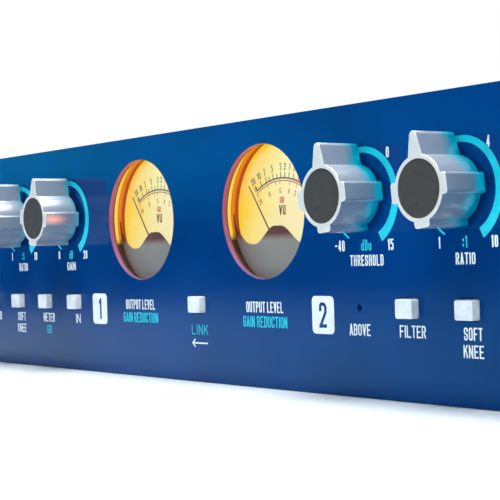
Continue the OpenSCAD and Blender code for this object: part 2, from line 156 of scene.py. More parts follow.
def fillet(points, radius, steps=5, closed=True):
    """The same path with each corner rounded. radius is one number, or one for each point."""
    points = [Vector(p) for p in points]
    count = len(points)
    radii = radius if isinstance(radius, (list, tuple)) else [radius] * count
    path = []
    for i, corner in enumerate(points):
        at_end = not closed and i in (0, count - 1)
        to_last = points[i - 1] - corner
        to_next = points[(i + 1) % count] - corner
        angle = to_last.angle(to_next)
        if at_end or radii[i] <= 0 or angle > NEARLY_STRAIGHT:
            path.append(corner)
            continue
        room = min(to_last.length, to_next.length) / 2
        reach = min(radii[i] / math.tan(angle / 2), room)
        start = corner + to_last.normalized() * reach
        finish = corner + to_next.normalized() * reach
        middle_way = (to_last.normalized() + to_next.normalized()).normalized()
        heart = corner + middle_way * reach / math.cos(angle / 2)
        sweep = math.pi - angle
        for k in range(steps + 1):
            part = k / steps
            arm = (start - heart) * math.sin((1 - part) * sweep) + (finish - heart) * math.sin(part * sweep)
            path.append(heart + arm / math.sin(sweep))
    return path


def circle(x, z, radius, steps=96):
    return [Vector((x + radius * math.cos(a), z + radius * math.sin(a)))
            for a in (2 * math.pi * i / steps for i in range(steps))]


def rounded_box(x, z, width, height, radius, steps=6):
    corners = [(x - width / 2, z - height / 2), (x + width / 2, z - height / 2),
               (x + width / 2, z + height / 2), (x - width / 2, z + height / 2)]
    return fillet(corners, radius, steps)


def knob_outline(centre, lug_r, pointer_r, rest):
    """Round body, three lugs and a tapering pointer, turned clockwise by rest, drawn anticlockwise."""
    foot_x, foot_z = POINTER_FOOT
    side = Vector((TIP_R - foot_x, pointer_r - TIP_R - foot_z))
    foot = Vector((foot_x, foot_z))
    a, b, c = side.dot(side), 2 * foot.dot(side), foot.dot(foot) - KNOB_BODY_R ** 2
    foot += side * (-b + math.sqrt(b * b - 4 * a * c)) / (2 * a)
    tip = [Vector((TIP_R * math.cos(t), pointer_r - TIP_R + TIP_R * math.sin(t)))
           for t in (math.pi * k / 10 for k in range(11))]
    pointer = [foot] + tip + [Vector((-foot.x, foot.y))]
    lug_foot = math.sqrt(KNOB_BODY_R ** 2 - LUG_HALF ** 2)
    lug = fillet([(LUG_HALF, lug_foot), (LUG_HALF, lug_r), (-LUG_HALF, lug_r), (-LUG_HALF, lug_foot)],
                 LUG_CORNER, closed=False)
    outline = []
    for quarter, shape in enumerate((pointer, lug, lug, lug)):
        turn = math.pi / 2 * quarter
        placed = [Vector((p.x * math.cos(turn) - p.y * math.sin(turn),
                          p.x * math.sin(turn) + p.y * math.cos(turn))) for p in shape]
        outline += placed
        start = math.atan2(placed[-1].y, placed[-1].x)
        next_half = foot if quarter == 3 else Vector((LUG_HALF, lug_foot))
        stop = turn + math.pi / 2 + math.atan2(next_half.y, next_half.x)
        sweep = (stop - start) % (2 * math.pi)
        outline += [Vector((KNOB_BODY_R * math.cos(start + sweep * k / 14),
                            KNOB_BODY_R * math.sin(start + sweep * k / 14))) for k in range(1, 14)]
    facing = Matrix.Rotation(-rest, 2)
    return [Vector((centre.x, centre.z)) + facing @ p for p in outline]


# Meshes ----------------------------------------------------

SMOOTH_BELOW = math.radians(35)
# The sideways reach of a corner is held where the path turns more sharply than these cosines
SHARPEST_INSET = 0.3
SHARPEST_MITRE = 0.5


def turn_outwards(shape):
    bmesh.ops.recalc_face_normals(shape, faces=shape.faces)
    shape.normal_update()


def add_piece(name, shape, looks, body, slot, *replaced):
    """Turns a bmesh into an object on its CAD body, in place of the CAD nodes that it stands for."""
    turn_outwards(shape)
    mesh = bpy.data.meshes.new(name)
    shape.to_mesh(mesh)
    shape.free()
    for look in looks:
        mesh.materials.append(MATERIALS[look])
    mesh.polygons.foreach_set("use_smooth", [True] * len(mesh.polygons))
    mesh.set_sharp_from_angle(angle=SMOOTH_BELOW)
    piece = bpy.data.objects.new(name, mesh)
    bpy.context.scene.collection.objects.link(piece)
    level = piece.modifiers.new("even_normals", "WEIGHTED_NORMAL")
    level.keep_sharp = True
    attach(piece, body)
    if replaced:
        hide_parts(*replaced)


def signed_area(loop):
    return sum(a.cross(b) for a, b in zip(loop, loop[1:] + loop[:1])) / 2


def moved_left(loop, amount):
    """The closed loop moved sideways by amount, towards its left."""
    moved = []
    for last, point, onward in zip(loop[-1:] + loop[:-1], loop, loop[1:] + loop[:1]):
        before = (point - last).normalized()
        after = (onward - point).normalized()
        normal = Vector((-before.y - after.y, before.x + after.x)).normalized()
        lean = max(normal.dot(Vector((-after.y, after.x))), SHARPEST_INSET)
        moved.append(point + normal * amount / lean)
    return moved


def join(shape, near, far, material=0):
    """Adds the faces between two rings of corners, of which one may be a single point."""
    for i in range(max(len(near), len(far))):
        j = i + 1
        corners = (near[i % len(near)], near[j % len(near)], far[j % len(far)], far[i % len(far)])
        shape.faces.new(list(dict.fromkeys(corners))).material_index = material


def extrude(shape, loops, front, back, bevel, material=0):
    """Adds a solid drawn in X and Z between two depths, with round edges.

    Loops after the first are holes.
    """
    loops = [[Vector(p) for p in loop] for loop in loops]
    loops = [loop if (signed_area(loop) > 0) == (i == 0) else loop[::-1] for i, loop in enumerate(loops)]
    steps = 3
    turns = [math.pi / 2 * k / steps for k in range(steps + 1)]
    section = [(bevel * (1 - math.sin(t)), front + bevel * (1 - math.cos(t))) for t in turns]
    section += [(inset, front + back - depth) for inset, depth in reversed(section)]
    layers = []
    for inset, depth in section:
        layers.append([[shape.verts.new((p.x, depth, p.y)) for p in moved_left(loop, inset)]
                       for loop in loops])
    for near, far in zip(layers, layers[1:]):
        for a, b in zip(near, far):
            join(shape, a, b, material)
    flat = [[(v.co.x, v.co.z, 0) for v in loop] for loop in layers[0]]
    triangles = tessellate_polygon(flat)
    for layer in (layers[0], layers[-1]):
        points = [v for loop in layer for v in loop]
        for triangle in triangles:
            shape.faces.new([points[i] for i in triangle]).material_index = material


def lathe(shape, profile, centre, material=0, steps=96):
    """Adds a solid turned about the Y axis through centre. profile lists radius and depth pairs."""
    rings = []
    for radius, depth in profile:
        angles = [2 * math.pi * i / steps for i in range(steps if radius > 0 else 1)]
        rings.append([shape.verts.new((centre.x + radius * math.cos(a), depth,
                                       centre.z + radius * math.sin(a))) for a in angles])
    for near, far in zip(rings, rings[1:]):
        join(shape, near, far, material)


def strip(shape, left, right, front, back, closed=False):
    """Adds a flat closed band between two rails drawn in X and Z."""
    rows = []
    for a, b in zip(left, right):
        corners = ((a, front), (b, front), (b, back), (a, back))
        rows.append([shape.verts.new((p[0], y, p[1])) for p, y in corners])
    for a, b in zip(rows, rows[1:] + (rows[:1] if closed else [])):
        join(shape, a, b)
    if not closed:
        shape.faces.new(rows[0])
        shape.faces.new(rows[-1][::-1])


def ribbon(shape, path, width, front, back, closed=False, caps=True):
    """Adds a flat band of even width along a path in X and Z, with square ends."""
    points = [Vector(p) for p in path]
    if caps and not closed:
        points[0] += (points[0] - points[1]).normalized() * width / 2
        points[-1] += (points[-1] - points[-2]).normalized() * width / 2
    left, right = [], []
    last = len(points) - 1
    for i, point in enumerate(points):
        inward = point - points[i - 1] if closed or i > 0 else points[1] - point
        onward = points[(i + 1) % len(points)] - point if closed or i < last else inward
        tangent = (inward.normalized() + onward.normalized()).normalized()
        normal = Vector((-tangent.y, tangent.x))
        square = Vector((-onward.y, onward.x)).normalized()
        reach = width / 2 / max(normal.dot(square), SHARPEST_MITRE)
        left.append(point + normal * reach)
        right.append(point - normal * reach)
    strip(shape, left, right, front, back, closed)


# Lettering -------------------------------------------------

# Each stroke is a path of points, x then z, on a grid 4 wide and 8 high; ~ marks a round corner
GLYPHS = {
    "A": "00 28 40,12 32", "B": "00 08 48~ 44~ 04,44~ 40~ 00", "C": "46 48~ 08~ 00~ 40~ 42",
    "D": "00 08 48~ 40~ 00", "E": "48 08 00 40,04 34", "F": "48 08 00,04 34",
    "G": "46 48~ 08~ 00~ 40~ 44 24", "H": "00 08,40 48,04 44", "I": "00 08", "K": "00 08,48 03,25 40",
    "L": "08 00 40", "M": "00 08 22 48 40", "N": "00 08 40 48", "O": "08~ 48~ 40~ 00~ 08~",
    "P": "00 08 48~ 44~ 04", "R": "00 08 48~ 44~ 04,24 40", "S": "46 48~ 08~ 04~ 44~ 40~ 00~ 02",
    "T": "08 48,28 20", "U": "08 00~ 40~ 48", "V": "08 20 48", "W": "08 10 25 30 48",
    "d": "48 40,45 05~ 00~ 40", "u": "05 00~ 40~ 45,45 40",
    ":": "01 02,05 06", "-": "04 34", "0": "08~ 48~ 40~ 00~ 08~", "1": "17 28 20",
    "2": "06 08~ 48~ 45~ 00 40", "3": "07 08~ 48~ 44~ 14,44~ 40~ 00~ 01", "4": "30 38 02 42",
    "5": "48 08 05 45~ 40~ 00~ 01", "6": "47 48~ 08~ 00~ 40~ 44~ 04", "7": "08 48 10",
    "8": "08~ 48~ 40~ 00~ 08~,04 44",
}
GLYPH_GRIDS = {"I": 0, ":": 0, "1": 2, "-": 3, " ": 1.5, "M": 4.6, "W": 5}
SHARP_TURN = math.radians(100)


def glyph_paths(character):
    """Strokes of one character: points, whether each corner is round, and whether the path closes."""
    for stroke in GLYPHS.get(character, "").split(","):
        marks = stroke.split()
        if not marks:
            continue
        closed = len(marks) > 2 and marks[0] == marks[-1]
        marks = marks[:-1] if closed else marks
        points = [Vector((int(m[0]), int(m[1]))) for m in marks]
        yield points, [m.endswith("~") for m in marks], closed


def split_at_sharp_turns(points):
    """Parts of a path between corners that double back, so that each part has square ends."""
    part = [points[0]]
    for i in range(1, len(points)):
        part.append(points[i])
        if i < len(points) - 1 and (points[i] - points[i - 1]).angle(points[i + 1] - points[i]) > SHARP_TURN:
            yield part
            part = [points[i]]
    yield part


def letter(shape, text, x, low, height, width=None, stroke=STROKE, front=FRONT_Y, turn=0.0,
           glyph_w=GLYPH_W, spacing=0.85):
    """Adds a line of text centred on x, standing on low, turned clockwise about its own middle."""
    grids = [GLYPH_GRIDS.get(c, 4) for c in text]
    gap = spacing * stroke
    fixed = stroke * sum(c != " " for c in text) + gap * (len(text) - 1)
    unit = (glyph_w - stroke) / 4
    if width:
        unit = (width - fixed) / sum(grids)
    total = fixed + unit * sum(grids)
    tall = (height - stroke) / 8
    centre = Vector((x, low + height / 2))
    facing = Matrix.Rotation(-turn, 2)
    cursor = -total / 2
    layer = 0
    for character, grid in zip(text, grids):
        squeeze = unit * grid / 4 if character != "1" else unit
        left = cursor + (stroke / 2 if character != " " else 0)
        for points, rounds, closed in glyph_paths(character):
            placed = [Vector((left + p.x * squeeze, (p.y - 4) * tall)) for p in points]
            radius = [min(2 * squeeze, 2 * tall) * 0.98 if r else 0 for r in rounds]
            path = [centre + facing @ p for p in fillet(placed, radius, 4, closed)]
            for part in [path] if closed else split_at_sharp_turns(path):
                ribbon(shape, part, stroke, front - PRINT_T - layer * LAYER_STEP, front + PRINT_T, closed)
                layer = (layer + 1) % LAYERS
        cursor += unit * grid + (stroke if character != " " else 0) + gap


# Materials -------------------------------------------------

def linear(*levels):
    """A screen colour given in levels from 0 to 255, as the shader's colour."""
    return tuple(((v / 255 + 0.055) / 1.055) ** 2.4 if v > 10 else v / 255 / 12.92 for v in levels) + (1,)


def shade(colour, factor):
    return tuple(min(1.0, c * factor) for c in colour[:3]) + (1,)


class Tree:
    """A node tree, with short ways to add nodes to it."""

    def __init__(self, tree):
        self.nodes = tree.nodes
        self.links = tree.links

    def give(self, socket, value):
        """Sets an input to a plain value, or links it to another node's output."""
        if isinstance(value, bpy.types.NodeSocket):
            self.links.new(value, socket)
        else:
            socket.default_value = value

    def node(self, kind, *terms, operation=None, **inputs):
        """The outputs of a new node. terms fill its inputs in order, and inputs fill them by name."""
        node = self.nodes.new(f"ShaderNode{kind}")
        if operation:
            node.operation = operation
        for socket, value in zip(node.inputs, terms):
            self.give(socket, value)
        for name, value in inputs.items():
            self.give(node.inputs[name.replace("_", " ")], value)
        return node.outputs

    def ramp(self, source, stops):
        """A colour ramp over source. stops lists place and colour pairs."""
        node = self.nodes.new("ShaderNodeValToRGB")
        elements = node.color_ramp.elements
        while len(elements) < len(stops):
            elements.new(0.5)
        for element, (place, colour) in zip(elements, stops):
            element.position = place
            element.color = colour
        self.give(node.inputs["Fac"], source)
        return node.outputs["Color"]

    def mixed(self, amount, first, second):
        """One surface where amount is 0 and another where it is 1."""
        return self.node("MixShader", amount, first, second)["Shader"]


class Paint(Tree):
    """A material with one Principled shader and short ways to add procedural detail."""

    def __init__(self, name, colour, roughness, metallic=0.0, **sockets):
        self.material = bpy.data.materials.new(name)
        self.material.use_nodes = True
        super().__init__(self.material.node_tree)
        self.shader = self.nodes["Principled BSDF"]
        self.put("Base Color", colour)
        self.put("Roughness", roughness)
        self.put("Metallic", metallic)
        for socket, value in sockets.items():
            self.put(socket.replace("_", " "), value)

    def put(self, socket, value):
        self.give(self.shader.inputs[socket], value)

    def place(self):
        """Where a point is on the object, in metres."""
        return self.node("TexCoord")["Object"]

    def vector(self, operation, first, second=(0, 0, 0)):
        """Vector arithmetic: the result is the Vector output, or the Value output for a length."""
        return self.node("VectorMath", first, second, operation=operation)

    def axes(self, centre=(0, 0, 0)):
        """Sockets with X, depth and Z of a point measured from centre, in metres."""
        return self.node("SeparateXYZ", Vector=self.vector("SUBTRACT", self.place(), centre)["Vector"])

    def math(self, operation, first, second):
        return self.node("Math", first, second, operation=operation)["Value"]

    def scaled(self, source, low, high, first=0.0, last=1.0):
        """source mapped from low..high to first..last."""
        return self.node("MapRange", Value=source, From_Min=low, From_Max=high, To_Min=first,
                         To_Max=last)["Result"]

    def inside(self, x, z, radius):
        """1 where x and z lie within radius of zero, else 0."""
        squares = [self.math("MULTIPLY", side, side) for side in (x, z)]
        return self.math("LESS_THAN", self.math("ADD", *squares), radius ** 2)

    def noise(self, size, detail=3.0, stretch=(1, 1, 1)):
        """Noise whose features are about as large as size, in metres."""
        place = self.node("Mapping", Vector=self.place(), Scale=stretch)["Vector"]
        return self.node("TexNoise", Vector=place, Scale=1 / size, Detail=detail)["Fac"]

    def vary(self, socket, source, first, last, span=(0.35, 0.65)):
        """Drives a shader input from first to last while source runs over span."""
        self.put(socket, self.scaled(source, *span, first, last))

    def mottle(self, source, dark, light):
        """Colour that wanders between two tones."""
        self.put("Base Color", self.ramp(source, [(0.35, dark), (0.65, light)]))

    def grain(self, source, depth):
        """Bump as deep as depth, in metres, on top of any bump before it."""
        normal = self.shader.inputs["Normal"]
        before = {"Normal": normal.links[0].from_socket} if normal.is_linked else {}
        bump = self.node("Bump", Strength=1.0, Distance=depth, Height=source, **before)
        self.put("Normal", bump["Normal"])

    def fade_out(self, amount):
        """Makes the surface let everything straight through where amount is 1."""
        clear = self.node("BsdfTransparent")["BSDF"]
        surface = self.mixed(amount, self.shader.outputs["BSDF"], clear)
        self.give(self.nodes["Material Output"].inputs["Surface"], surface)


def speckled(name, colour, roughness, size, depth, spread=0.08, metallic=0.0, **sockets):
    """A plain finish with slight tone changes, uneven gloss and a fine grain."""
    paint = Paint(name, colour, roughness, metallic, **sockets)
    paint.mottle(paint.noise(size * 12), shade(colour, 1 - spread), shade(colour, 1 + spread))
    paint.vary("Roughness", paint.noise(size * 30), roughness * 0.88, roughness * 1.12)
    paint.grain(paint.noise(size), depth)
    return paint


BLUE = (0.0002, 0.038, 0.18, 1)
WHITE_INK = (0.93, 0.95, 0.96, 1)
TEAL_INK = (0.0, 0.6, 0.74, 1)


def panel_paint():
    """Glossy blue paint with slow changes of tone and a faint orange-peel surface."""
    paint = Paint("panel_blue", BLUE, 0.11, 0.0, Specular_IOR_Level=0.28, Specular_Tint=(0.0, 0.55, 1, 1))
    paint.mottle(paint.noise(60 * MM, 2.0), shade(BLUE, 0.82), shade(BLUE, 1.15))
    paint.vary("Roughness", paint.noise(25 * MM, 4.0), 0.09, 0.13)
    paint.grain(paint.noise(0.5 * MM, 2.0), 0.0015 * MM)
    paint.grain(paint.noise(6 * MM, 2.0), 0.003 * MM)
    return paint


def cut_edge():
    """Bare metal of the windows' cut walls with a painted glow, salmon where the warm light falls and violet
    below.
    """
    colour = (0.3, 0.12, 0.2, 1)
    roughness = 0.42
    paint = Paint("cut_edge", colour, roughness, 1.0)
    lines = paint.noise(0.4 * MM, 2.0, (1, 6, 1))
    paint.mottle(lines, shade(colour, 0.9), shade(colour, 1.08))
    paint.vary("Roughness", paint.noise(8 * MM), roughness * 0.85, roughness * 1.15)
    paint.grain(lines, 0.003 * MM)
    _, depth, z = paint.axes((0, FRONT_Y, METER[1].z))
    # Painted glow: emission salmon at the top of the wall and violet at the bottom, strongest near the front
    # face.
    tone = paint.ramp(paint.scaled(z, -WINDOW_R, WINDOW_R), [
        (0.03, linear(150, 120, 170)), (0.3, linear(150, 90, 140)), (0.55, linear(158, 72, 96)),
        (1.0, linear(186, 88, 84))])
    paint.put("Emission Color", tone)
    paint.vary("Emission Strength", depth, 0.6, 0.02, (1.7 * MM, 1.9 * MM))
    return paint


def meter_axes(paint, channel):
    """Sockets with X, depth and Z measured from the middle of one meter, in metres."""
    return paint.axes((METER[channel].x, 0, METER[channel].z))


def dial_paint(channel):
    """Backlit card: deep yellow near its upper left rim, cream at the middle and the bottom."""
    paint = Paint(f"meter_dial_{channel}", (0.1, 0.06, 0.01, 1), 0.6)
    x, _, z = meter_axes(paint, channel)
    slope = paint.math("ADD", x, paint.math("MULTIPLY", z, -0.75))
    glow = paint.ramp(paint.scaled(slope, -30 * MM, 14 * MM), [
        (0.0, linear(255, 196, 0)), (0.2, linear(255, 212, 8)), (0.42, linear(255, 232, 130)),
        (0.7, linear(255, 240, 180)), (1.0, linear(255, 244, 195))])
    paint.put("Emission Color", glow)
    paint.put("Emission Strength", 0.98)
    paint.grain(paint.noise(0.3 * MM), 0.002 * MM)
    return paint


def case_paint(channel):
    """Black moulding whose inner wall carries a painted orange glow of the dial's light between the lens and
    the dial.
    """
    paint = speckled(f"meter_case_{channel}", (0.03, 0.012, 0.01, 1), 0.4, 0.3 * MM, 0.002 * MM)
    x, depth, z = meter_axes(paint, channel)
    # Painted glow of the dial's light on the inner wall, in orange and yellow bands; below the scoop's line
    # it is dimmed to painted shade.
    glow = paint.ramp(paint.scaled(depth, 0, 6 * MM), [
        (0.0, linear(60, 8, 4)), (0.2, linear(90, 14, 4)), (0.26, linear(255, 214, 80)),
        (0.64, linear(255, 206, 60)), (0.68, linear(120, 40, 4)), (0.72, linear(243, 145, 16)),
        (0.9, linear(236, 112, 10)), (0.97, linear(190, 74, 2)), (1.0, linear(160, 56, 0))])
    lit = paint.scaled(z, -9 * MM, -6 * MM, 0.04, 1.0)
    paint.put("Emission Color", glow)
    paint.put("Emission Strength", paint.math("MULTIPLY", paint.inside(x, z, CASE_INNER_R), lit))
    return paint


def lens_rim_paint(channel):
    """The lens's ground edge, with a painted glow of the dial's light on it."""
    paint = speckled(f"lens_rim_{channel}", (0.04, 0.015, 0.02, 1), 0.5, 0.2 * MM, 0.001 * MM)
    # Painted glow: yellow emission round the edge, turning dark at the bottom as painted shade.
    glow = paint.ramp(paint.scaled(meter_axes(paint, channel)["Z"], -9 * MM, 22 * MM), [
        (0.0, linear(40, 6, 10)), (0.06, linear(255, 214, 96)), (0.5, linear(255, 226, 110)),
        (1.0, linear(255, 190, 40))])
    paint.put("Emission Color", glow)
    paint.put("Emission Strength", 0.95)
    return paint


def scoop_paint(channel):
    """Satin grey with painted shade that turns it red-brown on the hump, where only the dial's light reaches
    it.
    """
    paint = speckled(f"meter_scoop_{channel}", (0.2, 0.19, 0.18, 1), 0.36, 0.5 * MM, 0.003 * MM)
    # Painted shade: the base colour goes from pale grey low down to dark red-brown on the hump.
    tone = paint.ramp(paint.scaled(meter_axes(paint, channel)["Z"], -9.5 * MM, -6.5 * MM), [
        (0.0, (0.4, 0.375, 0.36, 1)), (0.4, (0.33, 0.2, 0.17, 1)), (0.8, (0.16, 0.02, 0.004, 1))])
    paint.put("Base Color", tone)
    return paint


def clear_glass():
    """Clear lens that lets the lamps and the room light straight through."""
    paint = Paint("meter_lens", (1, 0.98, 0.94, 1), 0.02, 0.0, IOR=1.45, Transmission_Weight=1.0,
                  Specular_IOR_Level=0.15)
    paint.grain(paint.noise(9 * MM, 1.0), 0.002 * MM)
    paint.fade_out(paint.node("LightPath")["Is Shadow Ray"])
    return paint


def knob_body_paint():
    """Satin anodised sides with a painted blue-green reflection at the back edge, and a lit meter's glow
    painted on one lug as a reflection.
    """
    paint = Paint("knob_side", (0.5, 0.53, 0.56, 1), 0.25, 0.62)
    x, depth, _ = paint.axes()
    # Painted reflection: the base colour turns blue-green towards the back edge, less on the first channel's
    # knobs.
    fade = paint.scaled(depth, KNOB_FRONT_Y, KNOB_BACK_Y)
    reflection_weaker_on_first_channel = paint.scaled(x, -30 * MM, 30 * MM, -0.25, 0.0)
    wander = paint.scaled(paint.noise(4 * MM, 1.0), 0, 1, -0.15, 0.15)
    tone = paint.ramp(paint.math("ADD", paint.math("ADD", fade, reflection_weaker_on_first_channel), wander), [
        (0.0, (0.45, 0.5, 0.56, 1)), (0.56, (0.4, 0.48, 0.54, 1)), (0.86, (0.0, 0.5, 0.62, 1))])
    paint.put("Base Color", tone)
    paint.vary("Roughness", paint.noise(30 * MM, 1.0), 0.23, 0.27)
    # Painted reflection: a warm red emission spot on one lug of the first gain knob, standing for the lit
    # meter's glow.
    gain = middle("knob_gain_1")
    glow_centre = (gain.x + 10.5 * MM, KNOB_FRONT_Y + 3.5 * MM, gain.z - 3.2 * MM)
    glow_reach = (3 * MM, 6.5 * MM, 2.2 * MM)
    away = paint.vector("SUBTRACT", paint.place(), glow_centre)["Vector"]
    distance = paint.vector("LENGTH", paint.vector("DIVIDE", away, glow_reach)["Vector"])["Value"]
    paint.put("Emission Color", (1, 0.13, 0.03, 1))
    paint.vary("Emission Strength", distance, 0.75, 0.0, (0.1, 1.0))
    return paint


def backlit_ink(name, colour):
    """Ink with a little of the dial's light coming through it."""
    paint = speckled(name, colour, 0.8, 0.3 * MM, 0.002 * MM, 0.1, Specular_IOR_Level=0.1)
    paint.put("Emission Color", colour)
    paint.put("Emission Strength", 0.6)
    return paint


def lined(name, colour, roughness, metallic, scale, distortion, dark, light, depth):
    """A finish with wavy raised lines, such as a board's tracks or a coil's turns."""
    paint = Paint(name, colour, roughness, metallic)
    waves = paint.node("TexWave", Vector=paint.place(), Scale=scale, Distortion=distortion)["Fac"]
    paint.mottle(waves, dark, light)
    paint.grain(waves, depth)
    return paint


def socket_paint():
    """Plated shells round black inserts, told apart by the distance from each socket's axis."""
    paint = Paint("socket_nickel", (0.5, 0.5, 0.5, 1), 0.3)
    inserts = 0.0
    for mount in frame["record"]["mounts"]:
        if "socket" in mount["name"]:
            x, _, z = paint.axes(mount["pos_m"])
            inserts = paint.math("ADD", paint.inside(x, z, SOCKET_INSERT_R), inserts)
    tone = paint.ramp(inserts, [(0.45, (0.55, 0.54, 0.52, 1)), (0.55, (0.02, 0.02, 0.022, 1))])
    paint.put("Base Color", tone)
    paint.vary("Metallic", inserts, 1.0, 0.0, (0.45, 0.55))
    paint.grain(paint.noise(0.4 * MM), 0.003 * MM)
    return paint

# Pieces ----------------------------------------------------

def lamp_places():
    """Each channel's signal lamp stands to the left of its first button."""
    return [BUTTON[f"filter_{ch}"].x - LAMP_GAP for ch in CHANNELS]


def add_panel():
    """Blue plate with its slots, windows and holes, bare metal with a painted glow on the windows' walls."""
    slots = next(m for m in frame["record"]["mounts"] if m["name"] == "rack_slots")["dims"]
    slot_h = 2 * slots["hole_r_mm"] * MM
    slot_w = slots["slot_length_mm"] * MM
    loops = [rounded_box(0, 0, PANEL_HIGH.x - PANEL_LOW.x, PANEL_HIGH.z - PANEL_LOW.z, PANEL_CORNER_R)]
    for side_x in (-1, 1):
        for side_z in (-1, 1):
            loops.append(rounded_box(side_x * slots["spacing_x_mm"] * MM / 2,
                                     side_z * slots["spacing_y_mm"] * MM / 2,
                                     slot_w, slot_h, slot_h / 2 - 0.01 * MM, 12))
    for centre in METER.values():
        loops.append(circle(centre.x, centre.z, WINDOW_R, 128))
    for centre in KNOB.values():
        loops.append(circle(centre.x, centre.z, SPINDLE_HOLE_R, 32))
    for name in BUTTON_NAMES:
        low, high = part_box(f"button_{name}")
        loops.append(rounded_box(BUTTON[name].x, ROW_Z, high.x - low.x + 2 * BUTTON_GAP,
                                 high.z - low.z + 2 * BUTTON_GAP, BUTTON_CORNER_R))
    for x in lamp_places():
        loops.append(circle(x, ROW_Z, LAMP_HOLE_R, 32))
    shape = bmesh.new()
    extrude(shape, loops, PANEL_LOW.y, PANEL_HIGH.y, PANEL_BEVEL)
    turn_outwards(shape)
    for face in shape.faces:
        spot = face.calc_center_median()
        reach = min(math.hypot(spot.x - c.x, spot.z - c.z) for c in METER.values())
        is_wall = abs(face.normal.y) < 0.5 and spot.y > FRONT_Y + 0.25 * MM
        if is_wall and reach < WINDOW_R + 0.3 * MM:
            face.material_index = 1
    add_piece("blue_panel", shape, ["panel_blue", "cut_edge"], "chassis", "panel_blue", "front_panel")


def add_prints():
    """All the lettering, in three layers of ink."""
    white, teal, blue = bmesh.new(), bmesh.new(), bmesh.new()
    row_text(white, teal)
    knob_text(white, teal)
    for ch, centre in METER.items():
        label_x = centre.x + LABEL_SHIFT[ch]
        letter(white, "OUTPUT LEVEL", label_x, -19.45 * MM, TEXT_H, 19.8 * MM)
        letter(teal, "GAIN REDUCTION", label_x, -24.3 * MM, 3.65 * MM, 23.7 * MM)
        x = math.copysign(NUMBER_BOX_X, centre.x)
        extrude(white, [rounded_box(x, -19.65 * MM, 10.6 * MM, 11.76 * MM, 1.6 * MM)],
                FRONT_Y - PRINT_T, FRONT_Y + PRINT_T, 0.01 * MM)
        letter(blue, str(ch), x, -23.6 * MM, 7.9 * MM, stroke=1.1 * MM, front=FRONT_Y - PRINT_T,
               glyph_w=3.6 * MM)
    for x in lamp_places():
        letter(white, "ABOVE", x, FIRST_LINE_Z, 3.55 * MM, 9.5 * MM)
    add_piece("white_print", white, ["print_white"], "chassis", "print_white")
    add_piece("teal_print", teal, ["print_teal"], "chassis", "print_teal")
    add_piece("blue_print", blue, ["panel_blue"], "chassis", "panel_blue")


def add_rear_print():
    """Plain names over the sockets and the mains inlet, readable from behind."""
    rear_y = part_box("rear_panel")[1].y
    shape = bmesh.new()
    for mount in frame["record"]["mounts"]:
        x, _, z = mount["pos_m"]
        if "socket" in mount["name"]:
            kind, _, number = mount["name"].split("_")
            letter(shape, f"{kind.upper()} {number}", -x, z + 19 * MM, 3.2 * MM, front=rear_y)
        elif mount["name"] == "mains_inlet":
            letter(shape, "POWER", -x, z + 18 * MM, 3.2 * MM, front=rear_y)
    for v in shape.verts:
        v.co.x = -v.co.x
        v.co.y = 2 * rear_y - v.co.y
    add_piece("rear_print", shape, ["print_white"], "chassis", "print_white")


# Names under each kind of push button, one below the other, with their widths in millimetres
BUTTON_TEXT = {
    "filter": (("FILTER", 10.8),),
    "soft_knee": (("SOFT", 7.0), ("KNEE", 7.7)),
    "meter": (("METER", 9.4),),
    "in": (("IN", 3.6),),
}


def row_text(white, teal):
    """Names under the push buttons, and an arrow under the middle one."""
    for name in BUTTON_NAMES:
        x = BUTTON[name].x
        if name == "link":
            letter(teal, "LINK", x, -27.7 * MM, 3.5 * MM, 9.7 * MM, 0.34 * MM, spacing=2.6)
            arrow(white, x - 4.6 * MM, x + 4.3 * MM, -30.65 * MM)
            continue
        kind = name.rsplit("_", 1)[0]
        for (text, width), low in zip(BUTTON_TEXT[kind], (FIRST_LINE_Z, SECOND_LINE_Z)):
            letter(white, text, x + BUTTON_TEXT_SHIFT, low, TEXT_H, width * MM)
        if kind == "meter":
            letter(teal, "GR", x + BUTTON_TEXT_SHIFT, SECOND_LINE_Z, 3.4 * MM, 3.9 * MM)


def arrow(shape, tip_x, end_x, z):
    """A plain arrow that points left."""
    head_l = 1.6 * MM
    head_h = 1.25 * MM
    width = 0.52 * MM
    ribbon(shape, [(tip_x + 0.3 * MM, z), (end_x, z)], width, FRONT_Y - PRINT_T, FRONT_Y + PRINT_T)
    wings = fillet([(tip_x + head_l, z + head_h), (tip_x, z), (tip_x + head_l, z - head_h)], 0.1 * MM,
                   closed=False)
    ribbon(shape, wings, width, FRONT_Y - PRINT_T - LAYER_STEP, FRONT_Y + PRINT_T)


# For each kind of knob: name and its width, unit, then the numbers at its left, right and top with
# their distances from its middle, in millimetres
KNOB_TEXT = {
    "threshold": ("THRESHOLD", 14.9, "dBu", ("-40", -12.0), ("15", 10.7), ("0", 10.6)),
    "ratio": ("RATIO", 7.5, ":1", ("1", -10.0), ("10", 11.0), ("4", 9.8)),
    "gain": ("GAIN", 6.7, "dB", ("0", -9.6), ("20", 11.2), ("", 0)),
}


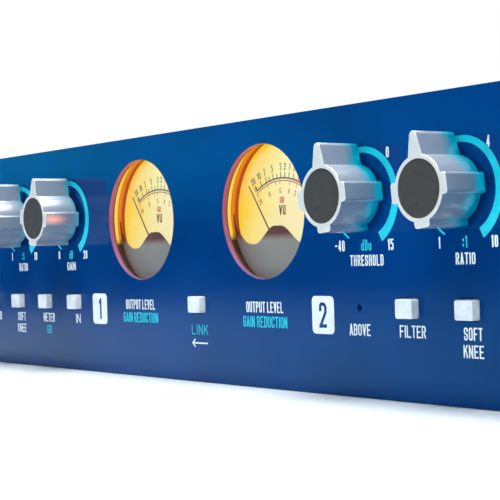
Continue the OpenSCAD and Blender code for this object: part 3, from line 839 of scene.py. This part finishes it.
def knob_text(white, teal):
    """Names, units and end numbers of the knobs, and the swelling arc round each."""
    low = -0.15 * MM
    for name in KNOB_NAMES:
        x = KNOB[name].x + KNOB_TEXT_SHIFT
        centre = Vector((KNOB[name].x, KNOB[name].z)) + ARC_SHIFT
        title, title_w, unit, left, right, top = KNOB_TEXT[name.rsplit("_", 1)[0]]
        letter(white, title, x, -4.65 * MM, 3.3 * MM, title_w * MM)
        letter(teal, unit, x, -0.1 * MM, 3.3 * MM)
        for (text, offset), z, height in ((left, low, 3.3), (right, low, 3.3), (top, 26.85 * MM, 3.2)):
            letter(white, text, x + offset * MM, z, height * MM, stroke=0.5 * MM)
        rails = ([], [])
        steps = 80
        for k in range(steps + 1):
            part = k / steps
            angle = ARC_END * (2 * part - 1)
            # Half the width grows from 0.3 mm at the start to 0.9 at the top and 1.55 at the end
            half = (0.3 + 0.6 * min(1, 2 * part) + 0.65 * max(0, 2 * part - 1)) * MM
            for rail, radius in zip(rails, (ARC_R + half, ARC_R - half)):
                rail.append(centre + radius * Vector((math.sin(angle), math.cos(angle))))
        strip(teal, *rails, FRONT_Y - PRINT_T, FRONT_Y + PRINT_T)


def add_knob(name):
    """Knob with a recess for its cap, and the cap itself."""
    low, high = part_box(f"knob_{name}")
    centre = KNOB[name]
    cap_low, cap_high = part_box(f"knob_cap_{name}")
    cap_r = (cap_high.x - cap_low.x) / 2
    upright_low, upright_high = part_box(f"knob_{UPRIGHT_KNOB}")
    outline = knob_outline(centre, centre.z - upright_low.z, upright_high.z - centre.z, KNOB_REST[name])
    shape = bmesh.new()
    extrude(shape, [outline, circle(centre.x, centre.z, cap_r + 0.05 * MM)], low.y, high.y, KNOB_BEVEL, 1)
    seat = low.y + 1 * MM
    plug_r = cap_r + 0.1 * MM
    for near, far in ((seat, seat + 1.5 * MM), (high.y - 0.6 * MM, high.y - 0.1 * MM)):
        lathe(shape, [(0, near), (plug_r, near), (plug_r, far), (0, far)], centre, 1)
    turn_outwards(shape)
    for face in shape.faces:
        if face.normal.y < -0.3 and face.calc_center_median().y < low.y + 0.4 * MM:
            face.material_index = 0
    body = f"control_{name}"
    add_piece(f"pointer_knob_{name}", shape, ["knob_face", "knob_side"], body, "knob_grey", f"knob_{name}")

    shape = bmesh.new()
    front = cap_low.y
    profile = [(0, front + 0.12 * MM), (cap_r * 0.5, front + 0.08 * MM), (cap_r * 0.9, front + 0.01 * MM),
               (cap_r - 0.2 * MM, front), (cap_r - 0.06 * MM, front + 0.05 * MM),
               (cap_r, front + 0.18 * MM), (cap_r, front + 0.8 * MM), (0, front + 0.8 * MM)]
    lathe(shape, profile, centre)
    add_piece(f"cap_disc_{name}", shape, ["cap_dark"], body, "cap_dark", f"knob_cap_{name}")


def add_button(name):
    """Button with soft edges and a slightly dished face, and its square stem."""
    low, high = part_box(f"button_{name}")
    x = BUTTON[name].x
    width, height = high.x - low.x, high.z - low.z
    shape = bmesh.new()
    # Distance in from the sides, and depth behind the front, from the dished face's middle to the back
    section = ((2.4, 0.16), (1.6, 0.12), (0.9, 0.04), (0.5, 0.0), (0.28, 0.03), (0.1, 0.14), (0.0, 0.36))
    loops = []
    for inset, depth in section:
        corner = max(0.25 * MM, BUTTON_CORNER_R - inset * MM)
        loop = rounded_box(x, ROW_Z, width - 2 * inset * MM, height - 2 * inset * MM, corner)
        loops.append([shape.verts.new((p.x, low.y + depth * MM, p.y)) for p in loop])
    loops.append([shape.verts.new((v.co.x, BUTTON_BACK_Y, v.co.z)) for v in loops[-1]])
    for near, far in zip(loops, loops[1:]):
        join(shape, near, far)
    shape.faces.new(loops[0])
    shape.faces.new(loops[-1])
    stem = rounded_box(x, ROW_Z, 3 * MM, 3 * MM, 0.3 * MM)
    extrude(shape, [stem], BUTTON_BACK_Y - 0.1 * MM, high.y, 0.05 * MM)
    add_piece(f"push_button_{name}", shape, ["button_white"], f"push_{name}", "button_white",
              f"button_{name}")


def add_lens(channel):
    """Clear disc with a ground edge."""
    low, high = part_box(f"vu_lens_{channel}")
    radius = (high.x - low.x) / 2
    edge = 0.12 * MM
    profile = [(0, low.y), (radius - edge, low.y), (radius, low.y + edge), (radius, high.y - edge),
               (radius - edge, high.y), (0, high.y)]
    shape = bmesh.new()
    lathe(shape, profile, METER[channel], steps=128)
    turn_outwards(shape)
    for face in shape.faces:
        if abs(face.normal.y) < 0.5:
            face.material_index = 1
    add_piece(f"lens_disc_{channel}", shape, ["meter_lens", f"lens_rim_{channel}"], "chassis", "meter_lens",
              f"vu_lens_{channel}")


# Angle from upright of each mark of the upper scale with its number, and of the lower scale
UPPER_MARKS = ((-31, "20"), (-24, "10"), (-17.4, "7"), (-13.8, ""), (-9, "5"), (-4.5, ""), (0, "3"),
               (4.7, "2"), (9.5, "1"), (14.7, "0"), (20.4, "1"), (27, "2"), (34, "3"))
LOWER_MARKS = ((-32, "20"), (-17, "8"), (-6.5, ""), (-1.3, "6"), (11, "4"), (20, "2"), (29, "0"))
ZERO_MARK = 14.7
UPPER_ARC_R = 25.65
LOWER_ARC_R = 24.8


def add_dial(channel):
    """Card with two printed scales round the needle's pivot."""
    low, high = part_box(f"vu_dial_{channel}")
    centre = METER[channel]
    pivot = Vector((centre.x, centre.z - PIVOT_DROP))
    shape = bmesh.new()
    card = circle(centre.x, centre.z, (high.x - low.x) / 2, 128)
    extrude(shape, [card, circle(pivot.x, pivot.y, PIVOT_HOLE_R, 32)], low.y, high.y, 0.05 * MM)
    add_piece(f"dial_card_{channel}", shape, [f"meter_dial_{channel}"], "chassis", "meter_dial",
              f"vu_dial_{channel}")

    dark, red = bmesh.new(), bmesh.new()

    def polar(radius_mm, degrees):
        angle = math.radians(degrees)
        return pivot + Vector((math.sin(angle), math.cos(angle))) * radius_mm * MM

    def arc(ink, radius_mm, start, stop, width):
        path = [polar(radius_mm, start + (stop - start) * k / 40) for k in range(41)]
        ribbon(ink, path, width, low.y - PRINT_T, low.y + PRINT_T, caps=False)

    def tick(ink, inner, outer, degrees, width):
        ribbon(ink, [polar(inner, degrees), polar(outer, degrees)], width,
               low.y - PRINT_T - LAYER_STEP, low.y + PRINT_T, caps=False)

    def number(ink, text, radius_mm, degrees, height, stroke, glyph_w):
        spot = polar(radius_mm, degrees)
        letter(ink, text, spot.x, spot.y - height / 2, height, stroke=stroke, front=low.y,
               turn=math.radians(degrees), glyph_w=glyph_w)

    arc(dark, UPPER_ARC_R, -31.5, ZERO_MARK, 0.5 * MM)
    arc(red, UPPER_ARC_R, ZERO_MARK, 34.5, 0.7 * MM)
    arc(red, LOWER_ARC_R, -32.5, 34, 0.38 * MM)
    for degrees, text in UPPER_MARKS:
        ink = red if degrees >= ZERO_MARK else dark
        tick(ink, 25.5, 27.6 if text else 27.1, degrees, 0.36 * MM)
        number(ink, text, 29.4, degrees, 2.3 * MM, 0.3 * MM, 0.95 * MM)
    for degrees in (-32.5, -30.3):
        tick(dark, 25.6, 27.3, degrees, 0.26 * MM)
    for degrees, text in LOWER_MARKS:
        tick(red, 23.4, 24.9, degrees, 0.24 * MM)
        number(red, text, 21.5, degrees, 1.8 * MM, 0.24 * MM, 0.8 * MM)
    letter(red, "GR", centre.x + 0.25 * MM, centre.z + 2.7 * MM, 2.1 * MM, 2.3 * MM, 0.3 * MM, low.y)
    letter(dark, "VU", centre.x + 0.3 * MM, centre.z - 1.2 * MM, 3.3 * MM, 3.4 * MM, 0.5 * MM, low.y)
    add_piece(f"scale_dark_{channel}", dark, ["ink_dark"], "chassis", "meter_dial")
    add_piece(f"scale_red_{channel}", red, ["ink_red"], "chassis", "meter_dial")


def scoop_edge(x_mm):
    """Height of the scoop's edge over the meter's middle: a hump over the pivot, a rise at each side."""
    part = min(1, max(0, (abs(x_mm) - 1.5) / 10.8))
    hump = 5.77 * (1 - part * part * (3 - 2 * part))
    flank = 6 * (max(0, abs(x_mm) - 14.4) / 8.4) ** 2
    return -10.45 + hump + flank


def add_scoop(channel):
    """Plate with a humped upper edge that hides the needle's pivot, on two posts."""
    low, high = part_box(f"vu_scoop_{channel}")
    centre = METER[channel]
    radius = (high.x - low.x) / 2 / MM
    steps = 96
    places = [radius * (2 * k / steps - 1) for k in range(steps + 1)]
    rim = [-math.sqrt(max(0, radius ** 2 - x * x)) for x in places]
    edge = [(x, max(z, scoop_edge(x))) for x, z in zip(places, rim)]
    outline = edge + list(zip(places, rim))[-2:0:-1]
    shape = bmesh.new()
    extrude(shape, [[(centre.x + x * MM, centre.z + z * MM) for x, z in outline]], low.y, low.y + 0.6 * MM,
            0.08 * MM)
    post_r = 1 * MM
    start = low.y + 0.5 * MM
    for side in (-1, 1):
        post = Vector((centre.x + side * 18 * MM, 0, centre.z - 13 * MM))
        lathe(shape, [(0, start), (post_r, start), (post_r, high.y), (0, high.y)], post, steps=32)
    add_piece(f"scoop_cover_{channel}", shape, [f"meter_scoop_{channel}"], "chassis", "meter_scoop",
              f"vu_scoop_{channel}")


# Look of each CAD node that keeps its own mesh, and the width in millimetres of its soft edges
CAD_LOOKS = {
    "sub_panel": ("inner_steel", 0), "chassis_tray": ("sheet_steel", 0.2), "top_cover": ("sheet_steel", 0.3),
    "rear_panel": ("sheet_steel", 0.15), "case_screws": ("screw_steel", 0.12),
    "potentiometers": ("pot_housing", 0), "pot_nuts": ("brass", 0), "board_standoffs": ("brass", 0),
    "switch_bodies": ("black_plastic", 0), "front_board": ("board_green", 0),
    "main_board": ("board_green", 0), "board_components": ("components", 0.3),
    "output_transformers": ("core_steel", 0.3), "mains_transformer": ("copper_winding", 0),
    "xlr_sockets": ("socket_nickel", 0.25), "power_module": ("black_plastic", 0.3),
    "power_rocker": ("gloss_black", 0.25), "fuse_drawer": ("drawer_plastic", 0.2),
    "indicator_leds": ("led_amber", 0), "meter_movements": ("magnet_steel", 0),
}
for ch in CHANNELS:
    CAD_LOOKS[f"vu_case_{ch}"] = (f"meter_case_{ch}", 0)
    CAD_LOOKS[f"needle_{ch}"] = ("needle_black", 0)
    CAD_LOOKS[f"latch_tab_{ch}"] = ("latch_metal", 0.15)
for knob in KNOB_NAMES:
    CAD_LOOKS[f"spindle_{knob}"] = ("spindle_steel", 0)


def finish_cad_nodes():
    """Materials and soft edges for the CAD nodes that stay as they are."""
    for node, (look, edge_width) in CAD_LOOKS.items():
        piece = frame["nodes"][node]
        piece.data.materials.clear()
        piece.data.materials.append(MATERIALS[look])
        if edge_width:
            weld = piece.modifiers.new("weld", "WELD")
            weld.merge_threshold = 0.001 * MM
            flatten = piece.modifiers.new("join_flat_faces", "DECIMATE")
            flatten.decimate_type = "DISSOLVE"
            flatten.angle_limit = math.radians(0.5)
            bevel = piece.modifiers.new("soft_edges", "BEVEL")
            bevel.width = edge_width * MM
            bevel.segments = 2
            bevel.limit_method = "ANGLE"
            bevel.angle_limit = math.radians(50)


# Colour and roughness of the plated metals; colour, roughness and grain depth of the plastics and inks
PLATED = {
    "inner_steel": ((0.55, 0.55, 0.56, 1), 0.35),
    "screw_steel": ((0.45, 0.45, 0.46, 1), 0.28),
    "pot_housing": ((0.5, 0.5, 0.52, 1), 0.35),
    "brass": ((0.72, 0.5, 0.2, 1), 0.3),
    "core_steel": ((0.2, 0.19, 0.18, 1), 0.5),
    "magnet_steel": ((0.3, 0.3, 0.3, 1), 0.4),
    "spindle_steel": ((0.6, 0.6, 0.6, 1), 0.22),
    "latch_metal": ((0.65, 0.65, 0.66, 1), 0.25),
}
PLASTIC = {
    "button_white": ((0.84, 0.84, 0.85, 1), 0.32, 0.001 * MM),
    "print_white": (WHITE_INK, 0.5, 0.002 * MM),
    "print_teal": (TEAL_INK, 0.5, 0.002 * MM),
    "black_plastic": ((0.022, 0.022, 0.024, 1), 0.42, 0.01 * MM),
    "gloss_black": ((0.015, 0.015, 0.016, 1), 0.2, 0.001 * MM),
    "drawer_plastic": ((0.03, 0.03, 0.032, 1), 0.5, 0.015 * MM),
    "components": ((0.03, 0.04, 0.09, 1), 0.3, 0.004 * MM),
    "led_amber": ((0.7, 0.25, 0.03, 1), 0.2, 0.001 * MM),
}


def make_materials():
    made = {
        "panel_blue": panel_paint(), "cut_edge": cut_edge(), "meter_lens": clear_glass(),
        "knob_side": knob_body_paint(), "socket_nickel": socket_paint(),
        "knob_face": speckled("knob_face", linear(214, 211, 207), 0.42, 0.25 * MM, 0.002 * MM, 0.03),
        "cap_dark": speckled("cap_dark", linear(68, 64, 62), 0.5, 0.22 * MM, 0.003 * MM,
                             Specular_IOR_Level=0.15),
        "sheet_steel": speckled("sheet_steel", (0.035, 0.03675, 0.0392, 1), 0.5, 0.7 * MM, 0.02 * MM, 0.04),
        "ink_dark": backlit_ink("ink_dark", (0.09, 0.008, 0.001, 1)),
        "ink_red": backlit_ink("ink_red", (0.45, 0.04, 0.002, 1)),
        # The needle gets the inks' faint painted glow, though no light comes through it.
        "needle_black": backlit_ink("needle_black", (0.09, 0.014, 0.003, 1)),
        "board_green": lined("board_green", (0.01, 0.1, 0.045, 1), 0.35, 0.0, 60, 6,
                             (0.006, 0.07, 0.032, 1), (0.014, 0.13, 0.06, 1), 0.02 * MM),
        "copper_winding": lined("copper_winding", (0.5, 0.2, 0.05, 1), 0.35, 0.8, 120, 1.5,
                                (0.34, 0.12, 0.03, 1), (0.62, 0.27, 0.08, 1), 0.15 * MM),
    }
    for name, (colour, roughness) in PLATED.items():
        made[name] = speckled(name, colour, roughness, 0.4 * MM, 0.002 * MM, 0.1, 1.0)
    for name, (colour, roughness, depth) in PLASTIC.items():
        made[name] = speckled(name, colour, roughness, 0.3 * MM, depth, 0.1)
    for ch in CHANNELS:
        made[f"meter_dial_{ch}"] = dial_paint(ch)
        made[f"meter_case_{ch}"] = case_paint(ch)
        made[f"meter_scoop_{ch}"] = scoop_paint(ch)
        made[f"lens_rim_{ch}"] = lens_rim_paint(ch)
    return {name: paint.material for name, paint in made.items()}


# Studio ----------------------------------------------------

def floor_paint():
    """Matt pale floor that fades into the white backdrop before its edge."""
    paint = speckled("floor", (0.6, 0.66, 0.69, 1), 0.8, 20 * MM, 0.01 * MM, 0.01)
    paint.fade_out(paint.scaled(paint.vector("LENGTH", paint.place())["Value"], 0.6, 1.05))
    return paint.material


def add_floor():
    mesh = bpy.data.meshes.new("floor")
    reach = 1.1
    z = FLOOR_Z - 0.2 * MM
    corners = [(-reach, -reach, z), (reach, -reach, z), (reach, reach, z), (-reach, reach, z)]
    mesh.from_pydata(corners, [], [(0, 1, 2, 3)])
    floor = bpy.data.objects.new("floor", mesh)
    bpy.context.scene.collection.objects.link(floor)
    mesh.materials.append(floor_paint())


def add_light(name, place, target, size, power):
    data = bpy.data.lights.new(name, "AREA")
    data.shape = "RECTANGLE"
    data.size, data.size_y = size
    data.energy = power
    light = bpy.data.objects.new(name, data)
    light.location = place
    light.rotation_mode = "QUATERNION"
    light.rotation_quaternion = (Vector(target) - Vector(place)).to_track_quat("-Z", "Y")
    light.visible_camera = False
    bpy.context.scene.collection.objects.link(light)


def add_world():
    """White backdrop, which only the camera sees. The object's own light is dim from above, with a
    bright blue band just over the horizon that the glossy panel mirrors."""
    world = bpy.data.worlds.new("studio")
    bpy.context.scene.world = world
    world.use_nodes = True
    tree = Tree(world.node_tree)
    height = tree.node("SeparateXYZ", Vector=tree.node("TexCoord")["Generated"])["Z"]
    sky = tree.nodes["Background"]
    tree.give(sky.inputs["Color"], tree.ramp(height, [
        (0.0, (0.01, 0.08, 0.14, 1)), (0.025, (0.01, 0.25, 0.4, 1)), (0.06, (0.05, 1.5, 2.3, 1)),
        (0.14, (0.12, 0.24, 0.34, 1)), (0.6, (0.2, 0.22, 0.25, 1))]))
    white = tree.node("Background", Color=(1, 1, 1, 1))["Background"]
    camera_ray = tree.node("LightPath")["Is Camera Ray"]
    backdrop = tree.mixed(camera_ray, sky.outputs["Background"], white)
    tree.give(tree.nodes["World Output"].inputs["Surface"], backdrop)


def add_studio():
    add_floor()
    add_world()
    add_light("softbox_front", (0.45, -1.1, 0.75), (0, 0, 0), (1.2, 0.8), 3)
    add_light("softbox_top", (0.2, 0.1, 1.3), (0, 0, 0), (1.0, 0.8), 50)
    add_light("softbox_back", (-0.5, 1.3, 0.8), (0, 0.1, 0), (1.0, 0.8), 10)
    bpy.context.scene.view_settings.view_transform = "Standard"


add_camera()
MATERIALS = make_materials()
add_panel()
add_prints()
add_rear_print()
for knob_name in KNOB_NAMES:
    add_knob(knob_name)
for button_name in BUTTON_NAMES:
    add_button(button_name)
for meter_channel in CHANNELS:
    add_lens(meter_channel)
    add_dial(meter_channel)
    add_scoop(meter_channel)
finish_cad_nodes()
add_studio()
